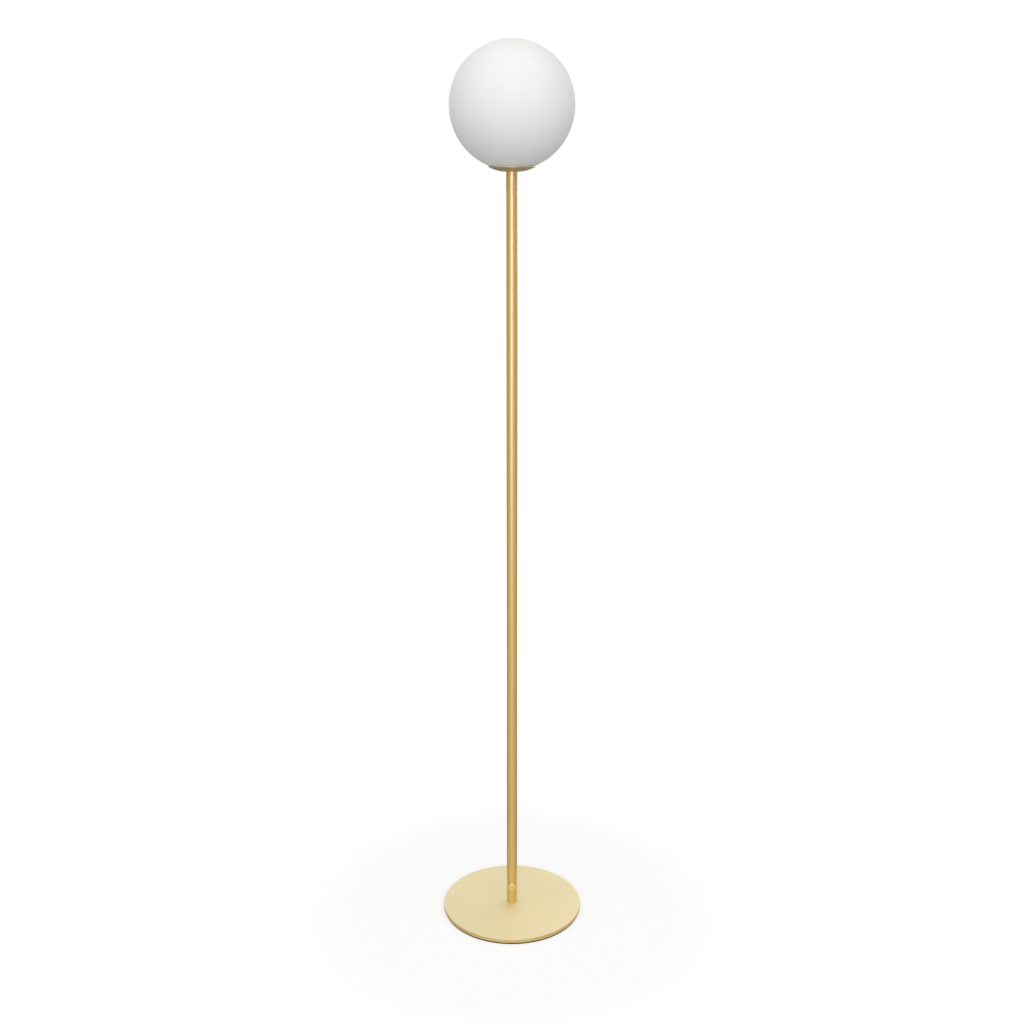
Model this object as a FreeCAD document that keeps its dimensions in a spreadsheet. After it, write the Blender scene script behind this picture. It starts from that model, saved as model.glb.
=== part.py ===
"""Globe floor lamp: an opal glass globe in a shallow brass saucer, on a slender stem and a flat round foot.

Millimetres. +Z is up, the origin is the centre of the foot where it meets the floor, and the
front of the lamp, with its push button, faces -Y. Threads are plain cylinders with a small clearance.
"""
import FreeCAD, Part
import math
import os
import re

import Sketcher

SIZES = {
    # floor to the top of the globe
    "lamp_height": 1530.0,
    # foot: a plate on a thin pad, held to the stem by a countersunk screw
    "plate_dia": 253.0,
    "plate_height": 6.8,
    "plate_bevel": 0.9,
    "pad_inset": 1.2,
    "pad_height": 3.2,
    "pad_hole_dia": 32.0,
    "screw_dia": 10.0,
    "screw_length": 25.0,
    "screw_head_dia": 20.0,
    "screw_sunk": 0.2,
    "screw_key_width": 6.0,
    "screw_key_depth": 3.0,
    # stem and the threaded plugs in its ends
    "stem_dia": 19.0,
    "stem_wall": 1.2,
    "foot_plug_height": 20.0,
    "top_plug_height": 16.0,
    "fit_gap": 0.05,
    # push button, its bezel and the switch behind it
    "button_height": 35.0,
    "button_dia": 7.9,
    "button_proud": 0.8,
    "button_dome": 0.35,
    "button_gap": 0.1,
    "button_travel": 1.5,
    "button_face": 2.2,
    "collar_step": 0.4,
    "collar_height": 1.0,
    "plunger_dia": 3.6,
    "plunger_length": 4.5,
    "bezel_dia": 12.6,
    "bezel_proud": 1.1,
    "bezel_bevel": 0.7,
    "bezel_barrel_dia": 9.6,
    "bezel_barrel_depth": 4.9,
    "housing_width": 13.0,
    "housing_height": 16.0,
    "housing_depth": 9.6,
    "housing_well_dia": 6.6,
    "housing_well_depth": 3.3,
    "spring_dia": 5.2,
    "spring_wire": 0.45,
    "spring_turns": 5.0,
    "terminal_width": 2.8,
    "terminal_thick": 0.8,
    "terminal_height": 6.0,
    "terminal_spacing": 6.0,
    # bush where the mains lead leaves the back of the stem
    "bush_height": 27.0,
    "bush_flange_dia": 10.5,
    "bush_proud": 1.4,
    "bush_bevel": 0.5,
    "bush_barrel_dia": 8.0,
    "bush_depth": 4.0,
    "bush_bore_dia": 6.4,
    # lead inside the stem and its two cores
    "lead_dia": 6.0,
    "lead_end_gap": 0.3,
    "core_dia": 2.2,
    "core_spacing": 3.0,
    "core_bare": 4.5,
    # saucer and the hollow threaded rod that ties the head to the stem
    "saucer_dia": 77.4,
    "saucer_wall": 1.2,
    "saucer_lip": 0.9,
    "dish_radius": 58.0,
    "rod_dia": 10.0,
    "rod_bore_dia": 7.0,
    "rod_length": 48.0,
    "rod_engaged": 14.0,
    "rod_gap": 0.2,
    "riser_washer_dia": 17.5,
    "riser_washer_height": 2.0,
    "lock_washer_dia": 17.0,
    "lock_washer_height": 0.8,
    "nut_width": 14.0,
    "nut_height": 3.0,
    "spacer_dia": 14.0,
    "spacer_height": 19.0,
    # spring clips that grip the globe's collar
    "carrier_dia": 36.0,
    "carrier_thick": 0.8,
    "clip_count": 3,
    "clip_width": 9.0,
    "clip_thick": 0.6,
    "clip_height": 14.6,
    "clip_gap": 0.3,
    # lampholder and its bracket
    "bracket_width": 14.0,
    "bracket_thick": 1.2,
    "bracket_height": 22.0,
    "bracket_screw_height": 15.5,
    "bracket_screw_dia": 3.0,
    "bracket_screw_length": 5.0,
    "bracket_screw_head_dia": 5.6,
    "bracket_screw_head_height": 1.8,
    "holder_lift": 8.0,
    "holder_width": 23.0,
    "holder_depth": 16.0,
    "holder_height": 26.0,
    "holder_corner": 3.0,
    "holder_cavity_dia": 9.0,
    "holder_cavity_depth": 3.0,
    "slot_width": 5.0,
    "slot_depth": 17.0,
    "slot_thick": 2.3,
    "pin_spacing": 9.4,
    "contact_thick": 0.4,
    "contact_height": 12.0,
    # plug-in light source
    "lamp_base_width": 15.0,
    "lamp_base_depth": 10.0,
    "lamp_base_height": 12.0,
    "lamp_base_corner": 2.5,
    "lamp_seat_gap": 0.3,
    "pin_wire": 0.8,
    "pin_width": 3.4,
    "pin_length": 15.0,
    "pin_buried": 3.0,
    "bulb_dia": 16.0,
    "bulb_wall": 1.0,
    "bulb_height": 38.0,
    "board_width": 9.0,
    "board_thick": 1.2,
    "board_height": 32.0,
    "board_buried": 3.0,
    # globe, its collar and the gasket under it
    "globe_dia": 200.0,
    "globe_wall": 3.0,
    "globe_mouth_dia": 52.0,
    "globe_neck_dia": 100.0,
    "globe_collar_wall": 1.2,
    "globe_collar_height": 12.0,
    "globe_collar_glue": 0.1,
    "globe_collar_drop": 0.4,
    "gasket_thick": 1.5,
    "gasket_dia": 61.0,
    "gasket_width": 5.0,
    "gasket_lift": 0.03,
    "gasket_ease": 0.3,
}

doc = FreeCAD.newDocument("globe_floor_lamp")


def make_sheet():
    """Writes every driving size to the spreadsheet, one named cell a row."""
    sheet = doc.addObject("Spreadsheet::Sheet", "Sizes")
    for row, (name, size) in enumerate(SIZES.items(), start=1):
        sheet.set(f"A{row}", name)
        sheet.set(f"B{row}", str(size))
        sheet.setAlias(f"B{row}", name)
    doc.recompute()
    return sheet


sheet = make_sheet()


def cells(expression):
    """The expression with each size's name turned into a reference to its cell."""
    return re.sub(r"[a-z][a-z_]*", lambda m: f"Sizes.{m[0]}" if m[0] in SIZES else m[0], str(expression))


def number(expression):
    """What an expression of size names comes to, as a plain number."""
    return float(sheet.evalExpression(cells(expression)))


def bind(thing, **settings):
    """Ties properties to expressions: bind(box, Length="bracket_width")."""
    for name, expression in settings.items():
        thing.setExpression(name.replace("__", "."), cells(expression))


def place(thing, across="0", back="0", up="0", turn=None):
    """Puts an object at a point given by expressions, after an optional fixed turn."""
    if turn is not None:
        thing.Placement = FreeCAD.Placement(FreeCAD.Vector(), turn)
    bind(thing, Placement__Base__x=across, Placement__Base__y=back, Placement__Base__z=up)


# Expressions for heights and radii that several pieces share.
STEM_FOOT = "(pad_height + plate_height)"
STEM_BORE = "(stem_dia / 2 - stem_wall)"
BUTTON_AXIS = f"({STEM_FOOT} + button_height)"
BUSH_AXIS = f"({STEM_FOOT} + bush_height)"
TO_FRONT = FreeCAD.Rotation(FreeCAD.Vector(1, 0, 0), 90)
TO_BACK = FreeCAD.Rotation(FreeCAD.Vector(1, 0, 0), -90)
QUARTER_TURN = FreeCAD.Rotation(FreeCAD.Vector(0, 0, 1), 90)
TO_RIGHT = FreeCAD.Rotation(FreeCAD.Vector(0, 1, 0), 90)
TO_LEFT = FreeCAD.Rotation(FreeCAD.Vector(0, 1, 0), -90)
SIDES = (("left", "-", TO_LEFT), ("right", "", TO_RIGHT))


def dish_floor(radius):
    """Height of the saucer's inner face above its underside, at a radius beyond its flat middle."""
    return f"(dish_radius - sqrt((dish_radius - saucer_wall)^2 - ({radius} - stem_dia / 2)^2))"


def dish_under(radius):
    """Height of the saucer's outer face above its underside, at a radius beyond its flat middle."""
    return f"(dish_radius - sqrt(dish_radius^2 - ({radius} - stem_dia / 2)^2))"


def globe_skin(radius):
    """Height of the globe's outer face above its lowest point, at a radius."""
    return f"(globe_dia / 2 - sqrt((globe_dia / 2)^2 - ({radius})^2))"


GASKET_MIDDLE = "(gasket_dia / 2)"
GLOBE_RISE = f"({dish_floor(GASKET_MIDDLE)} + gasket_thick - {globe_skin(GASKET_MIDDLE)})"
GLOBE_FOOT = "(lamp_height - globe_dia)"
STEM_TOP = f"({GLOBE_FOOT} - {GLOBE_RISE})"
RISER_FOOT = f"({STEM_TOP} + saucer_wall)"
CARRIER_FOOT = f"({RISER_FOOT} + riser_washer_height)"
LOCK_FOOT = f"({CARRIER_FOOT} + carrier_thick)"
NUT_FOOT = f"({LOCK_FOOT} + lock_washer_height)"
SPACER_FOOT = f"({NUT_FOOT} + nut_height)"
BRACKET_FOOT = f"({SPACER_FOOT} + spacer_height)"
TOP_NUT_FOOT = f"({BRACKET_FOOT} + bracket_thick)"
SIDE_SCREW_AXIS = f"({BRACKET_FOOT} + bracket_screw_height)"
HOLDER_FOOT = f"({BRACKET_FOOT} + holder_lift)"
HOLDER_TOP = f"({HOLDER_FOOT} + holder_height)"
LAMP_FOOT = f"({HOLDER_TOP} + lamp_seat_gap)"
BULB_FOOT = f"({LAMP_FOOT} + lamp_base_height)"
ROD_HOLE = "(rod_dia / 2 + rod_gap)"


# --- sketches and bodies -------------------------------------------------------------------

def origin_part(body, role):
    """A plane or axis of the body's own origin, by its role."""
    return next(part for part in body.Origin.OriginFeatures if part.Role == role)


def arc_between(start, end, radius, side):
    """Arc of a circle from start to end, its centre on the left (side 1) or right (-1) of the way there."""
    chord = end - start
    across = FreeCAD.Vector(-chord.y, chord.x, 0).normalize()
    centre = (start + end) * 0.5 + across * side * math.sqrt(radius**2 - (chord.Length / 2) ** 2)
    first, last = (start, end) if side > 0 else (end, start)
    angles = [math.atan2(point.y - centre.y, point.x - centre.x) for point in (first, last)]
    if angles[1] <= angles[0]:
        angles[1] += 2 * math.pi
    return Part.ArcOfCircle(Part.Circle(centre, FreeCAD.Vector(0, 0, 1), radius), *angles)


def outline(body, name, role, corners, arcs=None):
    """A closed sketch on a plane of the body. Each corner is a pair of expressions; arcs maps the number of
    the corner where an arc starts to its radius and side. Every corner and radius is bound to the sheet."""
    arcs = arcs or {}
    sketch = body.newObject("Sketcher::SketchObject", name)
    sketch.AttachmentSupport = [(origin_part(body, role), "")]
    sketch.MapMode = "FlatFace"
    points = [FreeCAD.Vector(number(x), number(y), 0) for x, y in corners]
    ends = []
    for i, start in enumerate(points):
        end = points[(i + 1) % len(points)]
        if i in arcs:
            radius, side = arcs[i]
            sketch.addGeometry(arc_between(start, end, number(radius), side))
            ends.append((1, 2) if side > 0 else (2, 1))
        else:
            sketch.addGeometry(Part.LineSegment(start, end))
            ends.append((1, 2))
    for i in range(len(points)):
        after = (i + 1) % len(points)
        sketch.addConstraint(Sketcher.Constraint("Coincident", i, ends[i][1], after, ends[after][0]))
    for i, corner in enumerate(corners):
        for kind, axis, expression, size in zip(("DistanceX", "DistanceY"), (-2, -1), corner, points[i]):
            if expression == "0":
                sketch.addConstraint(Sketcher.Constraint("PointOnObject", i, ends[i][0], axis))
            else:
                made = sketch.addConstraint(Sketcher.Constraint(kind, -1, 1, i, ends[i][0], size))
                sketch.setExpression(f"Constraints[{made}]", cells(expression))
    for i, (radius, _) in arcs.items():
        made = sketch.addConstraint(Sketcher.Constraint("Radius", i, number(radius)))
        sketch.setExpression(f"Constraints[{made}]", cells(radius))
    return sketch


def turned(label, corners, up="0", arcs=None):
    """A body turned about Z from a half outline of (radius, height) corners."""
    body = doc.addObject("PartDesign::Body", f"{label}_body")
    body.Label = label
    sketch = outline(body, f"{label}_outline", "XZ_Plane", corners, arcs)
    turn = body.newObject("PartDesign::Revolution", f"{label}_turn")
    turn.Profile = sketch
    turn.ReferenceAxis = (sketch, ["V_Axis"])
    turn.Angle = 360
    sketch.Visibility = False
    place(body, up=up)
    return body


def ring(label, outer, inner, height, up):
    """A plain turned ring: a washer, a sleeve or a pad."""
    corners = [(inner, "0"), (outer, "0"), (outer, height), (inner, height)]
    return turned(label, corners, up)


def padded(body, name, sketch, length, middle=False):
    """Pads a sketch along its normal, or half each way."""
    pad = body.newObject("PartDesign::Pad", name)
    pad.Profile = sketch
    pad.Midplane = middle
    bind(pad, Length=length)
    return pad


def rounded_block(label, width, depth, height, corner, up):
    """A block with its four upright edges rounded."""
    body = doc.addObject("PartDesign::Body", f"{label}_body")
    body.Label = label
    x, y = f"({width} / 2)", f"({depth} / 2)"
    near_x, near_y = f"({x} - {corner})", f"({y} - {corner})"
    corners = [
        (near_x, f"-{y}"), (x, f"-{near_y}"), (x, near_y), (near_x, y),
        (f"-{near_x}", y), (f"-{x}", near_y), (f"-{x}", f"-{near_y}"), (f"-{near_x}", f"-{y}"),
    ]
    rounds = {i: (corner, 1) for i in (0, 2, 4, 6)}
    padded(body, f"{label}_pad", outline(body, f"{label}_outline", "XY_Plane", corners, rounds), height)
    place(body, up=up)
    return body


# --- primitives and booleans ---------------------------------------------------------------

def cylinder(name, radius, height, across="0", back="0", up="0", turn=None):
    """A cylinder from a point, along +Z or along a fixed turn's direction."""
    made = doc.addObject("Part::Cylinder", name)
    bind(made, Radius=radius, Height=height)
    place(made, across, back, up, turn)
    return made


def block(name, width, depth, height, across="0", back="0", up="0"):
    """A box whose foot is centred on a point."""
    made = doc.addObject("Part::Box", name)
    bind(made, Length=width, Width=depth, Height=height)
    place(made, f"({across}) - ({width}) / 2", f"({back}) - ({depth}) / 2", up)
    return made


def combined(kind, name, base, tool):
    """A boolean of two objects: Cut, Common or Fuse."""
    made = doc.addObject(f"Part::{kind}", name)
    made.Base, made.Tool = base, tool
    return made


def together(name, *shapes):
    """Separate solids kept as one group."""
    made = doc.addObject("Part::Compound", name)
    made.Links = list(shapes)
    return made


def labelled(thing, label):
    """Gives a finished sub-part the name that its file takes."""
    thing.Label = label
    return thing


# --- the foot --------------------------------------------------------------------------------

def make_foot():
    """Plate, pad, countersunk screw and the threaded plug that it pulls down on."""
    edge, top, bevel = "plate_dia / 2", "plate_height", "plate_bevel"
    hole, sink = "(screw_dia / 2 + rod_gap)", "(screw_head_dia / 2)"
    sink_depth = f"(screw_sunk + {sink} - {hole})"
    plate = turned(
        "base_plate",
        [
            (sink, "0"), (f"{edge} - {bevel} / 2", "0"), (edge, f"{bevel} / 2"), (edge, f"{top} - {bevel}"),
            (f"{edge} - {bevel}", top), (hole, top), (hole, sink_depth), (sink, "screw_sunk"),
        ],
        up="pad_height",
        arcs={3: (bevel, 1)},
    )
    pad = ring("base_pad", "plate_dia / 2 - pad_inset", "pad_hole_dia / 2", "pad_height", "0")

    head = "(screw_head_dia / 2)"
    shank = "(screw_dia / 2)"
    body = turned(
        "base_screw",
        [
            ("0", "0"), (head, "0"), (shank, f"{head} - {shank}"), (shank, "screw_length - screw_dia / 8"),
            (f"{shank} - screw_dia / 8", "screw_length"), ("0", "screw_length"),
        ],
        up="pad_height + screw_sunk",
    )
    key_side = "screw_key_width / 2 / cos(30)"
    corners = [(f"{key_side} * cos({a})", f"{key_side} * sin({a})") for a in (30, 90, 150, 210, 270, 330)]
    corners = [("0" if a in (1, 4) else x, y) for a, (x, y) in enumerate(corners)]
    socket = body.newObject("PartDesign::Pocket", "base_screw_socket")
    socket.Profile = outline(body, "base_screw_key", "XY_Plane", corners)
    socket.Reversed = True
    bind(socket, Length="screw_key_depth")

    plug = ring(
        "foot_plug", f"{STEM_BORE} - fit_gap", "screw_dia / 2 + fit_gap", "foot_plug_height", STEM_FOOT
    )
    return [pad, plate, body, plug]


# --- the stem --------------------------------------------------------------------------------

def make_stem():
    """The tube with its two side holes, and the threaded plug in its top."""
    tube = ring("stem_blank", "stem_dia / 2", STEM_BORE, f"{STEM_TOP} - {STEM_FOOT}", STEM_FOOT)
    bezel, bush = "bezel_barrel_dia / 2 + fit_gap", "bush_barrel_dia / 2 + fit_gap"
    front = cylinder("stem_button_hole", bezel, "stem_dia", up=BUTTON_AXIS, turn=TO_FRONT)
    back = cylinder("stem_bush_hole", bush, "stem_dia", up=BUSH_AXIS, turn=TO_BACK)
    drilled = combined("Cut", "stem_drilled", tube, front)
    tube = labelled(combined("Cut", "stem", drilled, back), "stem_tube")
    plug = ring(
        "stem_top_plug", f"{STEM_BORE} - fit_gap", "rod_dia / 2 + fit_gap",
        "top_plug_height", f"{STEM_TOP} - top_plug_height",
    )
    return [tube, plug]


def saddle_bush(label, flange, proud, bevel, barrel, barrel_end, bore_steps, axis_height, turn):
    """A flanged bush whose flange is hollowed to sit on the stem. It lies along Y from the stem's axis;
    barrel_end is where its barrel stops, and bore_steps are (radius, start, end) from the axis outwards."""
    face = f"stem_dia / 2 + {proud}"
    blank = turned(
        f"{label}_blank",
        [
            ("0", "0"), (flange, "0"), (flange, f"{face} - {bevel}"),
            (f"{flange} - {bevel}", face), ("0", face),
        ],
    )
    place(blank, up=axis_height, turn=turn)
    stem = cylinder(f"{label}_stem", "stem_dia / 2", f"4 * ({flange})", up=f"{axis_height} - 2 * ({flange})")
    cap = combined("Cut", f"{label}_cap", blank, stem)
    back = "-" if turn.Axis.x * turn.Angle > 0 else ""
    neck = cylinder(
        f"{label}_neck", barrel, f"{face} - {bevel} - ({barrel_end})",
        back=f"{back}({barrel_end})", up=axis_height, turn=turn,
    )
    solid = combined("Fuse", f"{label}_solid", cap, neck)
    for i, (radius, start, end) in enumerate(bore_steps):
        drill = cylinder(
            f"{label}_drill{i}", radius, f"({end}) - ({start})",
            back=f"{back}({start})", up=axis_height, turn=turn,
        )
        solid = combined("Cut", f"{label}_bored{i}", solid, drill)
    return labelled(solid, label)


# --- the switch ------------------------------------------------------------------------------

def make_switch():
    """Bezel, button, return spring, housing and terminals, all about the button's axis."""
    face = "(stem_dia / 2 + bezel_proud)"
    lip_back = f"({face} - button_face)"
    barrel_end = f"(stem_dia / 2 - bezel_barrel_depth)"
    bore = "(button_dia / 2 + button_gap)"
    wide_bore = "(button_dia / 2 + button_gap + collar_step)"
    past = f"({face} + bezel_proud)"
    bezel = saddle_bush(
        "switch_bezel", "bezel_dia / 2", "bezel_proud", "bezel_bevel", "bezel_barrel_dia / 2", barrel_end,
        [(bore, f"{barrel_end} - bezel_bevel", past), (wide_bore, f"{barrel_end} - bezel_bevel", lip_back)],
        BUTTON_AXIS, TO_FRONT,
    )

    # The button's outline runs from the inner end of its plunger (height 0) out to its domed face.
    button_face = "(button_face - fit_gap + button_proud)"
    collar = "(plunger_length + collar_height)"
    radius = "(button_dia / 2)"
    dome = f"(({radius}^2 + button_dome^2) / (2 * button_dome))"
    button = turned(
        "push_button",
        [
            ("0", "0"), ("plunger_dia / 2", "0"), ("plunger_dia / 2", "plunger_length"),
            (f"{radius} + collar_step", "plunger_length"), (f"{radius} + collar_step", collar),
            (radius, collar), (radius, f"{collar} + {button_face} - button_dome"),
            ("0", f"{collar} + {button_face}"),
        ],
        arcs={6: (dome, 1)},
    )
    collar_back = f"({lip_back} - fit_gap - collar_height)"
    plunger_end = f"({collar_back} - plunger_length)"
    place(button, back=f"-{plunger_end}", up=BUTTON_AXIS, turn=TO_FRONT)

    well_floor = f"({barrel_end} - housing_well_depth)"
    front = f"({STEM_BORE} - fit_gap)"
    slab = block(
        "housing_slab", "housing_width", "housing_depth", "housing_height",
        back=f"-{front} + housing_depth / 2", up=f"{BUTTON_AXIS} - housing_height / 2",
    )
    round_tool = cylinder("housing_round", front, "2 * housing_height", up=f"{BUTTON_AXIS} - housing_height")
    rounded = combined("Common", "housing_rounded", slab, round_tool)
    socket = cylinder(
        "housing_socket", "bezel_barrel_dia / 2 + fit_gap", "stem_dia / 2", back=f"-({barrel_end} - fit_gap)",
        up=BUTTON_AXIS, turn=TO_FRONT,
    )
    socketed = combined("Cut", "housing_socketed", rounded, socket)
    well = cylinder(
        "housing_well", "housing_well_dia / 2", "stem_dia / 2",
        back=f"-{well_floor}", up=BUTTON_AXIS, turn=TO_FRONT,
    )
    housing = labelled(combined("Cut", "housing", socketed, well), "switch_housing")

    coil = doc.addObject("Part::Helix", "spring_line")
    span = f"({collar_back} - {well_floor} - 2 * spring_wire)"
    bind(coil, Radius="spring_dia / 2", Height=span, Pitch=f"{span} / spring_turns")
    place(coil, back=f"-({well_floor} + spring_wire)", up=BUTTON_AXIS, turn=TO_FRONT)
    section = doc.addObject("Part::Circle", "spring_section")
    bind(section, Radius="spring_wire / 2")
    place(section, "spring_dia / 2", f"-({well_floor} + spring_wire)", BUTTON_AXIS)
    spring = doc.addObject("Part::Sweep", "spring")
    spring.Sections = [section]
    spring.Spine = (coil, [])
    spring.Solid = True
    spring.Frenet = True
    labelled(spring, "button_spring")

    terminals = [
        block(
            f"terminal_{side}", "terminal_thick", "terminal_width", "terminal_height",
            across=f"{sign}terminal_spacing / 2", back=f"-{front} + housing_depth / 2",
            up=f"{BUTTON_AXIS} + housing_height / 2",
        )
        for side, sign, _ in SIDES
    ]
    terminals = labelled(together("terminals", *terminals), "switch_terminals")
    return [bezel, button, spring, housing, terminals]


def make_cord_bush():
    """The bush at the back of the stem that the mains lead passes through."""
    end = f"({STEM_BORE} - bush_depth)"
    return saddle_bush(
        "cord_bush", "bush_flange_dia / 2", "bush_proud", "bush_bevel", "bush_barrel_dia / 2", end,
        [("bush_bore_dia / 2", f"{end} - bush_bevel", "stem_dia")],
        BUSH_AXIS, TO_BACK,
    )


# --- the saucer and what ties it down --------------------------------------------------------

def hex_nut(name, up):
    """A hexagon nut on the hollow rod."""
    blank = doc.addObject("Part::Prism", f"{name}_blank")
    blank.Polygon = 6
    bind(blank, Circumradius="nut_width / 2 / cos(30)", Height="nut_height")
    place(blank, up=up)
    hole = cylinder(f"{name}_hole", "rod_dia / 2 + fit_gap", "nut_height", up=up)
    return combined("Cut", name, blank, hole)


def make_saucer():
    """The saucer, a shallow dish of even wall that curves up from a flat middle as wide as the stem."""
    rim, inner_rim = "(saucer_dia / 2)", "(saucer_dia / 2 - saucer_wall)"
    outer_end = dish_under(rim)
    top = f"({outer_end} + saucer_lip)"
    return turned(
        "saucer",
        [
            (ROD_HOLE, "0"), ("stem_dia / 2", "0"), (rim, outer_end), (rim, top),
            (inner_rim, top), (inner_rim, dish_floor(inner_rim)), ("stem_dia / 2", "saucer_wall"),
            (ROD_HOLE, "saucer_wall"),
        ],
        up=STEM_TOP,
        arcs={1: ("dish_radius", 1), 5: ("dish_radius - saucer_wall", -1)},
    )


def make_clip_carrier():
    """A steel disc with spring leaves that rise from its edge and bear on the bore of the globe's collar."""
    body = doc.addObject("PartDesign::Body", "clip_carrier_body")
    body.Label = "clip_carrier"
    edge = "(carrier_dia / 2)"
    corners = [(ROD_HOLE, "0"), (edge, "0"), (edge, "carrier_thick"), (ROD_HOLE, "carrier_thick")]
    sketch = outline(body, "carrier_outline", "XZ_Plane", corners)
    disc = body.newObject("PartDesign::Revolution", "carrier_disc")
    disc.Profile = sketch
    disc.ReferenceAxis = (sketch, ["V_Axis"])
    disc.Angle = 360
    grip = f"sqrt(({COLLAR_BORE} - clip_gap)^2 - (clip_width / 2)^2)"
    root, heel = "carrier_dia / 2 - 2 * clip_width / 3", "(carrier_dia / 2 + clip_thick)"
    shin, belly, tip = f"({grip} - 1.6 * clip_thick)", f"({grip})", f"({grip} - 3 * clip_thick)"
    low, middle, high = "0.3 * clip_height", "0.65 * clip_height", "clip_height"
    leaf = outline(
        body, "clip_outline", "XZ_Plane",
        [
            (root, "0"), (heel, "0"), (shin, low), (belly, middle), (tip, high),
            (f"{tip} - clip_thick", high), (f"{belly} - clip_thick", middle), (f"{shin} - clip_thick", low),
            (f"{heel} - clip_thick", "carrier_thick"), (root, "carrier_thick"),
        ],
    )
    clip = padded(body, "clip", leaf, "clip_width", middle=True)
    pattern = body.newObject("PartDesign::PolarPattern", "clips")
    pattern.Originals = [clip]
    pattern.Axis = (origin_part(body, "Z_Axis"), [""])
    pattern.Angle = 360
    bind(pattern, Occurrences="clip_count")
    body.Tip = pattern
    place(body, up=CARRIER_FOOT, turn=QUARTER_TURN)
    return body


def make_tie():
    """Hollow rod, washers, nuts and spacer that clamp saucer, clips and lampholder bracket to the stem."""
    rod = ring("threaded_rod", "rod_dia / 2", "rod_bore_dia / 2", "rod_length", f"{STEM_TOP} - rod_engaged")
    riser = ring("riser_washer", "riser_washer_dia / 2", ROD_HOLE, "riser_washer_height", RISER_FOOT)
    lock = ring("lock_washer", "lock_washer_dia / 2", ROD_HOLE, "lock_washer_height", LOCK_FOOT)
    nuts = together("nuts", hex_nut("saucer_nut", NUT_FOOT), hex_nut("bracket_nut", TOP_NUT_FOOT))
    spacer = ring("spacer_tube", "spacer_dia / 2", ROD_HOLE, "spacer_height", SPACER_FOOT)
    return [rod, riser, lock, labelled(nuts, "rod_nuts"), spacer]


# --- the lampholder --------------------------------------------------------------------------

def make_bracket():
    """A U of steel strap with the rod through its base and a screw through each ear."""
    body = doc.addObject("PartDesign::Body", "strap_body")
    inside = "(holder_width / 2 + fit_gap)"
    outside = f"({inside} + bracket_thick)"
    strap = outline(
        body, "strap_outline", "XZ_Plane",
        [
            (f"-{outside}", "0"), (outside, "0"), (outside, "bracket_height"), (inside, "bracket_height"),
            (inside, "bracket_thick"), (f"-{inside}", "bracket_thick"), (f"-{inside}", "bracket_height"),
            (f"-{outside}", "bracket_height"),
        ],
    )
    padded(body, "strap", strap, "bracket_width", middle=True)
    place(body, up=BRACKET_FOOT)
    hole = cylinder("bracket_rod_hole", ROD_HOLE, "3 * bracket_thick", up=f"{BRACKET_FOOT} - bracket_thick")
    screws = cylinder(
        "bracket_screw_holes", "bracket_screw_dia / 2 + fit_gap", f"4 * {outside}", across=f"-2 * {outside}",
        up=SIDE_SCREW_AXIS, turn=TO_RIGHT,
    )
    drilled = combined("Cut", "bracket_drilled", body, hole)
    bracket = labelled(combined("Cut", "bracket", drilled, screws), "holder_bracket")

    screws = []
    for side, sign, turn in SIDES:
        head = cylinder(
            f"screw_head_{side}", "bracket_screw_head_dia / 2", "bracket_screw_head_height",
            across=f"{sign}({outside} + fit_gap)", up=SIDE_SCREW_AXIS, turn=turn,
        )
        shank = cylinder(
            f"screw_shank_{side}", "bracket_screw_dia / 2",
            "bracket_screw_length + bracket_screw_head_height / 2",
            across=f"{sign}({outside} + fit_gap - bracket_screw_length)", up=SIDE_SCREW_AXIS, turn=turn,
        )
        screws.append(combined("Fuse", f"screw_{side}", head, shank))
    return [bracket, labelled(together("screws", *screws), "bracket_screws")]


def make_holder():
    """The ceramic lampholder with two slots for the lamp's pins, and a contact leaf in each."""
    solid = rounded_block(
        "holder_blank", "holder_width", "holder_depth", "holder_height", "holder_corner", HOLDER_FOOT
    )
    cavity = cylinder("holder_cavity", "holder_cavity_dia / 2", "holder_cavity_depth", up=HOLDER_FOOT)
    solid = combined("Cut", "holder_hollowed", solid, cavity)
    contacts = []
    for side, sign, turn in SIDES:
        hole = cylinder(
            f"holder_hole_{side}", "bracket_screw_dia / 2 + fit_gap", "bracket_screw_length",
            across=f"{sign}(holder_width / 2 - bracket_screw_length + bracket_thick)",
            up=SIDE_SCREW_AXIS, turn=turn,
        )
        solid = combined("Cut", f"holder_drilled_{side}", solid, hole)
        middle = f"{sign}pin_spacing / 2"
        slot = block(
            f"slot_{side}", "slot_width", "slot_thick", "slot_depth + slot_thick", across=middle,
            up=f"{HOLDER_TOP} - slot_depth",
        )
        solid = combined("Cut", f"holder_slotted_{side}", solid, slot)
        contacts.append(
            block(
                f"contact_{side}", "slot_width - 2 * fit_gap", "contact_thick", "contact_height",
                across=middle, back="slot_thick / 2 - contact_thick / 2 - fit_gap",
                up=f"{HOLDER_TOP} - slot_depth + fit_gap",
            )
        )
    return [
        labelled(solid, "holder_body"),
        labelled(together("contacts", *contacts), "holder_contacts"),
    ]


def make_lead():
    """The two-core lead up the stem, and the cores that run on into the lampholder."""
    start = f"({BUTTON_AXIS} + housing_height / 2 + terminal_height + lead_end_gap)"
    end = f"({HOLDER_FOOT} + holder_cavity_depth - core_bare)"
    sheath = cylinder("lead_sheath", "lead_dia / 2", f"{end} - {start}", up=start)
    labelled(sheath, "stem_lead")
    cores = [
        cylinder(
            f"core_{side}", "core_dia / 2", "core_bare - fit_gap", across=f"{sign}core_spacing / 2", up=end
        )
        for side, sign, _ in SIDES
    ]
    return [sheath, labelled(together("cores", *cores), "lead_cores")]


# --- the light source ------------------------------------------------------------------------

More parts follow.
